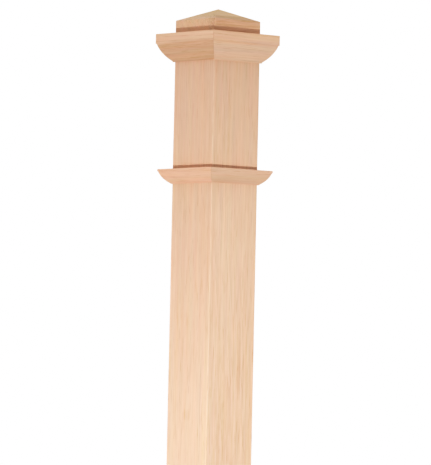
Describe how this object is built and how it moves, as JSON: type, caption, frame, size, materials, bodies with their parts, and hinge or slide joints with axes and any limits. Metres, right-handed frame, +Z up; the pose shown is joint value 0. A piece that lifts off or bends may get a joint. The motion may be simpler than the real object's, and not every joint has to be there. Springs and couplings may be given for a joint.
{
  "type": "newel post",
  "caption": "Square hollow newel post with a low pointed cap block, a mitred cap moulding, a plain frieze and a mitred neck moulding.",
  "frame": {"origin": "middle of the foot, level with what the post stands on", "axes": "+Z up the post to the point of the cap, -Y out of the front face, +X out of the right face"},
  "size_m": [0.13, 0.13, 1.397],
  "materials": {
    "oak_shaft": "bare, machine sanded, grain along the post",
    "oak_cap": "bare, sanded, grain across the post",
    "oak_moulding": "bare, moulded, grain along each strip"
  },
  "bodies": {
    "root": {"shaft_board_front": "oak_shaft", "shaft_board_right": "oak_shaft", "shaft_board_back": "oak_shaft", "shaft_board_left": "oak_shaft", "cap_block": "oak_cap", "cap_moulding_front": "oak_moulding", "cap_moulding_right": "oak_moulding", "cap_moulding_back": "oak_moulding", "cap_moulding_left": "oak_moulding", "neck_moulding_front": "oak_moulding", "neck_moulding_right": "oak_moulding", "neck_moulding_back": "oak_moulding", "neck_moulding_left": "oak_moulding"}
  },
  "joints": []
}
